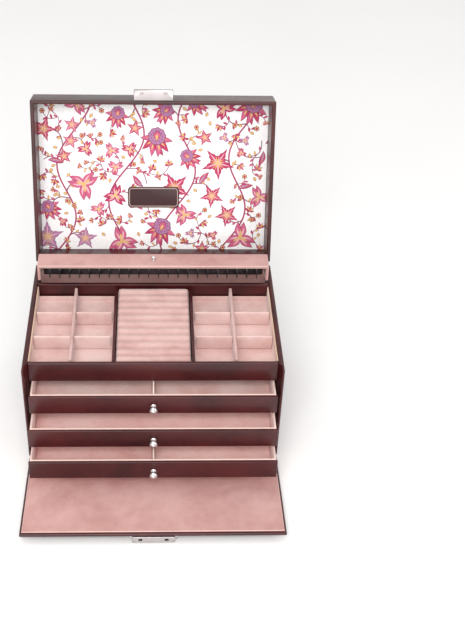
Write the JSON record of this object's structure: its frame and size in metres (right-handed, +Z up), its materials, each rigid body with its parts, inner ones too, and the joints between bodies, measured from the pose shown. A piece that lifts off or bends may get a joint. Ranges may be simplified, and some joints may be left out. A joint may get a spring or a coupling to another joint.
{
  "type": "leather jewellery case",
  "caption": "Open leather jewellery case with a hinged lid, a fold-down front flap, stepped drawers, a ring pad, tray cells and a lift-out necklace holder.",
  "frame": {"origin": "centre of the case body's underside, on the surface it stands on", "axes": "+Z up, -Y to the front where the drawers and the flap open, +X to the right seen from the front"},
  "size_m": [0.27, 0.4024, 0.3128],
  "materials": {
    "leather_bordeaux": "glossy smooth bordeaux leather over board, pale top stitching",
    "suede_rose": "mottled rose suede lining",
    "suede_pale": "pale rose suede on divider edges and piping",
    "lining_print": "white cloth with a printed floral pattern in berry tones",
    "nickel_satin": "satin nickel",
    "chrome": "polished",
    "steel": "satin",
    "board_wood": "plain board",
    "hook_rail_black": "black rail with bright hooks"
  },
  "bodies": {
    "case": {"base_board": "leather_bordeaux", "rear_wall": "leather_bordeaux", "well_partition": "leather_bordeaux", "front_rail": "leather_bordeaux", "plinth_board": "leather_bordeaux", "drawer_floor": "board_wood", "tray_floor": "board_wood", "drawer_shelf_lower": "board_wood", "drawer_shelf_upper": "board_wood", "side_wall_left": "leather_bordeaux", "side_wall_right": "leather_bordeaux", "ring_pad": "suede_rose", "ring_frame_left": "leather_bordeaux", "insert_left": "suede_rose", "side_lining_left": "suede_pale", "long_divider_left": "suede_pale", "cross_divider_left_rear": "suede_pale", "cross_divider_left_front": "suede_pale", "ring_frame_right": "leather_bordeaux", "insert_right": "suede_rose", "side_lining_right": "suede_pale", "long_divider_right": "suede_pale", "cross_divider_right_rear": "suede_pale", "cross_divider_right_front": "suede_pale", "lid_hinge_case_leaf": "steel", "lid_hinge_pin": "steel", "flap_hinge_case_leaf": "steel", "flap_hinge_pin": "steel"},
    "lid": {"lid_shell": "leather_bordeaux", "lid_pad": "leather_bordeaux", "lid_lining": "lining_print", "lid_plaque": "leather_bordeaux", "hasp": "nickel_satin", "lid_hinge_lid_leaf": "steel", "handle_post_left": "chrome", "handle_post_right": "chrome"},
    "handle": {"handle_strap": "leather_bordeaux", "handle_link_left": "chrome", "handle_link_right": "chrome"},
    "flap": {"flap_panel": "leather_bordeaux", "flap_lining": "suede_rose", "flap_hinge_flap_leaf": "steel", "lock_case": "nickel_satin"},
    "lock_plug": {"lock_plug": "chrome"},
    "lock_button_left": {"lock_button_left": "chrome"},
    "lock_button_right": {"lock_button_right": "chrome"},
    "drawer_top": {"drawer_top_box": "suede_rose", "drawer_top_front": "leather_bordeaux", "drawer_top_knob": "chrome", "drawer_top_divider": "suede_pale"},
    "drawer_middle": {"drawer_middle_box": "suede_rose", "drawer_middle_front": "leather_bordeaux", "drawer_middle_knob": "chrome"},
    "drawer_bottom": {"drawer_bottom_box": "suede_rose", "drawer_bottom_front": "leather_bordeaux", "drawer_bottom_knob": "chrome", "drawer_bottom_divider": "suede_pale"},
    "necklace_holder": {"holder_hood": "suede_rose", "hook_rail": "hook_rail_black", "holder_knob": "chrome"}
  },
  "joints": [
    {"name": "lid_hinge", "type": "hinge", "parent": "case", "child": "lid", "pos_m": [0, 0.0946, 0.12215], "axis": [-1, 0, 0], "range_deg": [-107, 0]},
    {"name": "handle_swing", "type": "hinge", "parent": "lid", "child": "handle", "pos_m": [0, 0.17156, 0.19791], "axis": [-1, 0, 0], "range_deg": [-145, 3]},
    {"name": "flap_hinge", "type": "hinge", "parent": "case", "child": "flap", "pos_m": [0, -0.0956, 0.0021], "axis": [1, 0, 0], "range_deg": [-85.83, 0]},
    {"name": "drawer_top_slide", "type": "slide", "parent": "case", "child": "drawer_top", "axis": [0, -1, 0], "range_m": [-0.0425, 0]},
    {"name": "drawer_middle_slide", "type": "slide", "parent": "case", "child": "drawer_middle", "axis": [0, -1, 0], "range_m": [-0.065, 0]},
    {"name": "drawer_bottom_slide", "type": "slide", "parent": "case", "child": "drawer_bottom", "axis": [0, -1, 0], "range_m": [-0.084, 0]},
    {"name": "necklace_lift", "type": "slide", "parent": "case", "child": "necklace_holder", "axis": [0, 0, 1], "range_m": [0, 0.1]},
    {"name": "lock_plug_turn", "type": "hinge", "parent": "flap", "child": "lock_plug", "pos_m": [0, -0.20169, 0.00061], "axis": [0, -0.0727, -0.9974], "range_deg": [0, 90]},
    {"name": "lock_button_left_press", "type": "slide", "parent": "flap", "child": "lock_button_left", "axis": [1, 0, 0], "range_m": [0, 0.002], "stiffness_N_per_m": 150, "springref_m": -0.001},
    {"name": "lock_button_right_press", "type": "slide", "parent": "flap", "child": "lock_button_right", "axis": [-1, 0, 0], "range_m": [0, 0.002], "stiffness_N_per_m": 150, "springref_m": -0.001}
  ],
  "couplings": [
    {"joint": "drawer_top_slide", "follows": "flap_hinge", "m_per_rad": 0.028371},
    {"joint": "drawer_middle_slide", "follows": "flap_hinge", "m_per_rad": 0.04339},
    {"joint": "drawer_bottom_slide", "follows": "flap_hinge", "m_per_rad": 0.056074}
  ]
}
